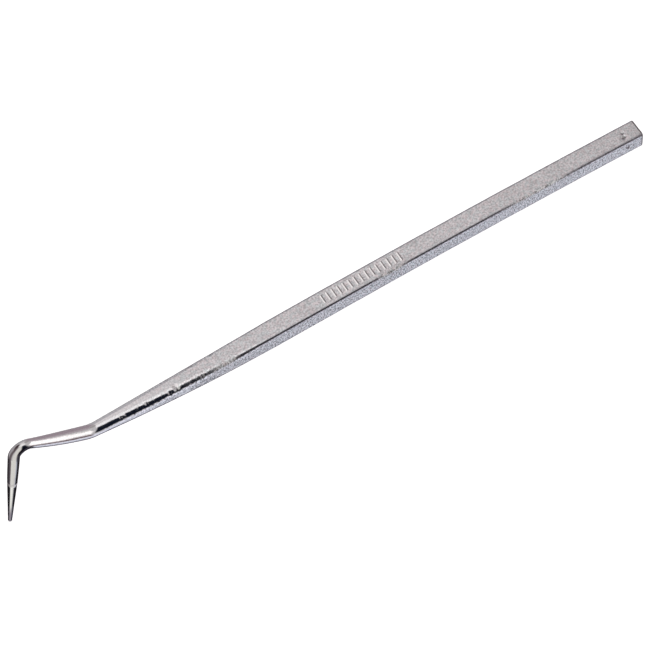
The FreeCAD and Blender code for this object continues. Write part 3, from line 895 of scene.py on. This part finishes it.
def satin_colour(graph, bright):
    """The mottled plate of the bar, which calms down towards the bright neck."""
    fine = graph.noise(0.42, detail=3.0)
    tint = graph.noise(0.8, detail=1.0, seed=3.0)
    patches = graph.noise(6.0, detail=3.0, seed=7.0)
    warm = graph.mix(bright, SATIN_COLOUR, BRIGHT_COLOUR)
    cool = graph.mix(bright, COOL_COLOUR, BRIGHT_COLOUR)
    base = graph.mix(graph.ramp(tint, 0.30, 0.70), warm, cool)
    on_top = graph.ramp(fine, 0.25, 0.75, 0.70, 1.22)
    on_sides = graph.ramp(fine, 0.33, 0.67, 0.34, 1.52)
    mottle = graph.blend(graph.sideways(), on_top, on_sides)
    mottle = graph.math("MULTIPLY", mottle, graph.ramp(patches, 0.2, 0.8, 0.94, 1.06))
    quiet = graph.math("MULTIPLY", bright, 0.85)
    return graph.scaled(base, graph.blend(quiet, mottle, 1.0))


def steel_colour(graph):
    bright = graph.attribute("bright")
    base = satin_colour(graph, bright)
    # Painted highlight: the burrs of the ticks turn near white.
    base = graph.mix(graph.math("MULTIPLY", painted_glint_share(graph), MATT_AND_GLINT_SHARE), base, BURR_GLINT_COLOUR)
    # Painted shadow beside each tick, and darker colour in the bottoms of knocks.
    base = marked(graph, "dark", 0.95, base, TICK_SHADOW_AND_DENT_COLOUR)
    # Painted shade round the butt's softened edge.
    base = marked(graph, "rim_shade", 0.85, base, RIM_SHADE_COLOUR)
    satin = graph.math("SUBTRACT", 1.0, bright)
    # Painted shade towards the silhouette of the satin bar.
    outline = graph.math("MULTIPLY", satin, 0.9)
    base = paint_silhouette_shade(graph, base, OUTLINE_SHADE_COLOUR, 0.575, 0.68, outline)
    # Painted shade in a narrow band beside each corner.
    base = marked(graph, "arris_shade", 0.75, base, ARRIS_SHADE_COLOUR)
    hook = graph.attribute("hook")
    base = graph.mix(hook, base, HOOK_COLOUR)
    # Painted shade towards the silhouette of the hook.
    base = paint_silhouette_shade(graph, base, HOOK_OUTLINE_SHADE_COLOUR, 0.58, 0.67, hook)
    # Painted shade on the inside of the hook.
    return graph.mix(graph.attribute("inner_shade"), base, HOOK_INSIDE_SHADE_COLOUR)


def steel_roughness(graph):
    bright = graph.attribute("bright")
    corner_polish = graph.ramp(bright, 0.0, 0.35, 0.5, 1.0)
    polish = graph.math("MULTIPLY", graph.attribute("edge"), corner_polish)
    polish = graph.math("MAXIMUM", bright, polish)
    satin = graph.ramp(graph.noise(0.7, detail=2.0, seed=1.0), 0.3, 0.7, 0.30, 0.42)
    worked = graph.blend(polish, satin, POLISHED_ROUGHNESS)
    worked = graph.blend(painted_glint_share(graph), worked, BURR_ROUGHNESS)
    return graph.blend(graph.attribute("dull"), worked, DULL_ROUGHNESS)


def steel_matt_and_glow(graph):
    """The share of the tick burrs that isn't mirror-like, which also gets a painted glow."""
    return graph.math("MULTIPLY", painted_glint_share(graph), MATT_AND_GLINT_SHARE)


def steel_normal(graph):
    satin = graph.math("SUBTRACT", 1.0, graph.math("MULTIPLY", graph.attribute("bright"), 0.8))
    grain = graph.math("MULTIPLY", graph.noise(0.30, detail=3.0, seed=5.0), satin)
    ripple = graph.noise(1.6, detail=1.0, seed=9.0)
    return graph.bump(grain, 0.016, graph.bump(ripple, 0.012))


POINT_COLOUR = (0.97, 0.97, 0.96)
POINT_TIP_COLOUR = (0.30, 0.27, 0.33)
# Colour of the painted shade towards the point's silhouette.
POINT_OUTLINE_SHADE_COLOUR = (0.012, 0.012, 0.02)
POINT_TIP_HEIGHT = cad_box[0][2] / MM


def point_colour(graph):
    """Bright ground metal, darker and grey-purple towards the nose."""
    fine = graph.noise(0.25, detail=2.0, stretch=(0.4, 0.4, 2.0))
    base = graph.scaled(POINT_COLOUR, graph.ramp(fine, 0.3, 0.7, 0.92, 1.03))
    nose = graph.math("DIVIDE", graph.object_height(), MM)
    nearer_nose = graph.ramp(nose, POINT_TIP_HEIGHT + 3.4, POINT_TIP_HEIGHT + 8.5, 0.95, 0.0)
    base = graph.mix(nearer_nose, base, POINT_TIP_COLOUR)
    outline = graph.math("SUBTRACT", 1.0, graph.math("MULTIPLY", nearer_nose, 0.7))
    # Painted shade towards the silhouette of the point.
    return paint_silhouette_shade(graph, base, POINT_OUTLINE_SHADE_COLOUR, 0.495, 0.55, outline)


def point_roughness(graph):
    return graph.ramp(graph.noise(0.3, detail=2.0), 0.3, 0.7, 0.08, 0.16)


def point_normal(graph):
    return graph.bump(graph.noise(0.18, detail=1.0, stretch=(0.2, 0.2, 3.0)), 0.003)


BRAZE_LIGHT_COLOUR = (0.94, 0.92, 0.90)
BRAZE_DARK_COLOUR = (0.86, 0.84, 0.83)


def braze_colour(graph):
    patches = graph.ramp(graph.noise(0.3), 0.3, 0.7)
    return graph.mix(patches, BRAZE_LIGHT_COLOUR, BRAZE_DARK_COLOUR)


def braze_roughness(graph):
    return graph.ramp(graph.noise(0.2), 0.3, 0.7, 0.35, 0.5)


def braze_normal(graph):
    return graph.bump(graph.noise(0.25, detail=2.0), 0.01)


# ---------------------------------------------------------------- studio

# Half the width of a panel that goes all the way round.
ALL_ROUND = 180

# What the metal reflects. Azimuth is 0 along +X and 90 along +Y; all angles are in degrees.
# (name, azimuth, elevation, half width, half height, softness, colour)
PANELS = [
    ("ground", 0, -78, ALL_ROUND, 40, 12, (0.26, 0.25, 0.30)),
    ("room behind", 80, 5, 40, 45, 20, (0.50, 0.49, 0.51)),
    ("sky right", 36, 54, 30, 22, 16, (0.41, 0.385, 0.385)),
    ("sky behind", 100, 62, 42, 22, 24, (0.81, 0.775, 0.785)),
    ("ceiling", -70, 84, ALL_ROUND, 14, 10, (1.03, 1.02, 1.02)),
    ("ceiling light", -85, 72, 40, 12, 10, (1.05, 1.04, 1.05)),
    ("beige wall, left", -122, 5, 26, 60, 20, (0.86, 0.84, 0.80)),
    ("grey wall, back left", 128, -8, 34, 32, 20, (0.42, 0.40, 0.42)),
    ("brown wall, left", 175, 0, 21, 56, 16, (0.17, 0.14, 0.15)),
    ("brown wall, back left", 152, 44, 44, 20, 14, (0.14, 0.11, 0.12)),
    ("darkest corner", 126, 47, 24, 14, 12, (0.05, 0.032, 0.038)),
    ("pink wall, right", 42, 0, 22, 30, 12, (0.36, 0.30, 0.335)),
    ("pink wall, near card", 12, 22, 12, 14, 10, (0.46, 0.40, 0.43)),
    ("small lamp, right", 22, -8, 14, 10, 4, (4.0, 3.9, 3.8)),
    ("white card, right", -30, 9, 24, 17, 14, (1.45, 1.40, 1.38)),
    ("paper in front", -62, -55, 26, 12, 8, (0.75, 0.785, 0.885)),
    ("paper front edge", -78, -34, 13, 17, 8, (0.85, 0.86, 0.97)),
    ("paper, left", -128, -50, 42, 12, 8, (0.87, 0.86, 0.82)),
    ("shade behind", 120, -52, 54, 18, 10, (0.09, 0.08, 0.09)),
    ("shade below", -10, -68, 60, 5, 4, (0.06, 0.055, 0.07)),
    ("dark room in front", -83, 29.5, 17, 34.5, 10, (0.004, 0.007, 0.016)),
    ("dark foot of the room", -95, -12, 11, 18, 6, (0.02, 0.02, 0.027)),
    ("brown edge of the room", -59, -24, 8, 10, 6, (0.14, 0.075, 0.08)),
]


def panel_mask(graph, ray, azimuth, elevation, half_width, half_height, softness):
    """1 inside a panel of the surround, softly falling to 0 outside it."""
    turn = math.radians(azimuth)
    ahead = graph.dot(ray, (math.cos(turn), math.sin(turn), 0.0))
    aside = graph.dot(ray, (-math.sin(turn), math.cos(turn), 0.0))
    height = graph.dot(ray, (0.0, 0.0, 1.0))
    around = graph.math("ABSOLUTE", graph.math("ARCTAN2", aside, ahead))
    above = graph.math("SUBTRACT", graph.math("ARCSINE", height), math.radians(elevation))
    soft = math.radians(softness)
    wide = math.radians(half_width)
    tall = math.radians(half_height)
    across = graph.ramp(around, wide - soft / 2, wide + soft / 2, 1.0, 0.0)
    upright = graph.ramp(graph.math("ABSOLUTE", above), tall - soft / 2, tall + soft / 2, 1.0, 0.0)
    if half_width == ALL_ROUND:
        return upright
    return graph.math("MULTIPLY", across, upright)


SURROUND_COLOUR = (0.60, 0.585, 0.59)


def make_world():
    """The surround that the metal reflects, panel over panel."""
    world = bpy.data.worlds.new("surround")
    bpy.context.scene.world = world
    world.use_nodes = True
    graph = Graph(world.node_tree)
    ray = graph.node("ShaderNodeTexCoord").outputs["Generated"]
    colour = SURROUND_COLOUR
    for _, azimuth, elevation, half_width, half_height, softness, panel_colour in PANELS:
        mask = panel_mask(graph, ray, azimuth, elevation, half_width, half_height, softness)
        colour = graph.mix(mask, colour, panel_colour)
    graph.feed(world.node_tree.nodes["Background"].inputs["Color"], colour)


FLOOR_HALF_WIDTH = 3.0
FLOOR_GAP = 0.0002
FLOOR_COLOUR = (0.8, 0.8, 0.8)
FLOOR_ROUGHNESS = 0.9
FLOOR_GLOW = 0.75


def make_floor():
    """A plain pale sheet just below the point, which the metal doesn't mirror."""
    mesh = bpy.data.meshes.new("floor")
    half = FLOOR_HALF_WIDTH
    level = cad_box[0][2] - FLOOR_GAP
    outline = [(-half, -half), (half, -half), (half, half), (-half, half)]
    mesh.from_pydata([(x, y, level) for x, y in outline], [], [(0, 1, 2, 3)])
    floor = bpy.data.objects.new("floor", mesh)
    bpy.context.scene.collection.objects.link(floor)
    material = bpy.data.materials.new("floor_paper")
    material.use_nodes = True
    shader = material.node_tree.nodes["Principled BSDF"]
    shader.inputs["Base Color"].default_value = (*FLOOR_COLOUR, 1.0)
    shader.inputs["Roughness"].default_value = FLOOR_ROUGHNESS
    shader.inputs["Emission Color"].default_value = (1.0, 1.0, 1.0, 1.0)
    shader.inputs["Emission Strength"].default_value = FLOOR_GLOW
    mesh.materials.append(material)
    floor.visible_glossy = False


# Angles in degrees, distance in metres, lens in millimetres.
CAMERA_AIM = Vector((-0.0908, -0.0061, 0.0))
CAMERA_DISTANCE = 0.9957
CAMERA_ELEVATION = 58.73
CAMERA_HEADING = 61.27
CAMERA_ROLL = -3.01
CAMERA_LENS = 237.57


def make_camera():
    data = bpy.data.cameras.new("camera")
    camera = bpy.data.objects.new("camera", data)
    bpy.context.scene.collection.objects.link(camera)
    elevation = math.radians(CAMERA_ELEVATION)
    heading = math.radians(CAMERA_HEADING)
    forward = Vector((math.cos(heading) * math.cos(elevation),
                      math.sin(heading) * math.cos(elevation),
                      -math.sin(elevation)))
    camera.location = CAMERA_AIM - forward * CAMERA_DISTANCE
    level = forward.to_track_quat("-Z", "Y")
    roll = Vector((0.0, 0.0, 1.0))
    camera.rotation_mode = "QUATERNION"
    camera.rotation_quaternion = level @ Quaternion(roll, math.radians(CAMERA_ROLL))
    data.lens = CAMERA_LENS
    data.sensor_width = 36.0
    data.clip_end = 100.0
    bpy.context.scene.camera = camera


def install(item, material, node):
    """Put a finished piece in the place of a CAD node, with its material."""
    item.data.materials.append(material)
    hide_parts(node)
    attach(item, "root")


steel = metal("plated_steel", steel_colour, steel_roughness, steel_normal, steel_matt_and_glow)
hard_metal = metal("hard_metal", point_colour, point_roughness, point_normal)
braze = metal("braze", braze_colour, braze_roughness, braze_normal)
install(make_body(), steel, "scriber_body")
install(make_point(), hard_metal, "hard_point")
install(make_ring(), braze, "braze_ring")
make_world()
make_floor()
make_camera()
bpy.context.scene.view_settings.view_transform = "Standard"
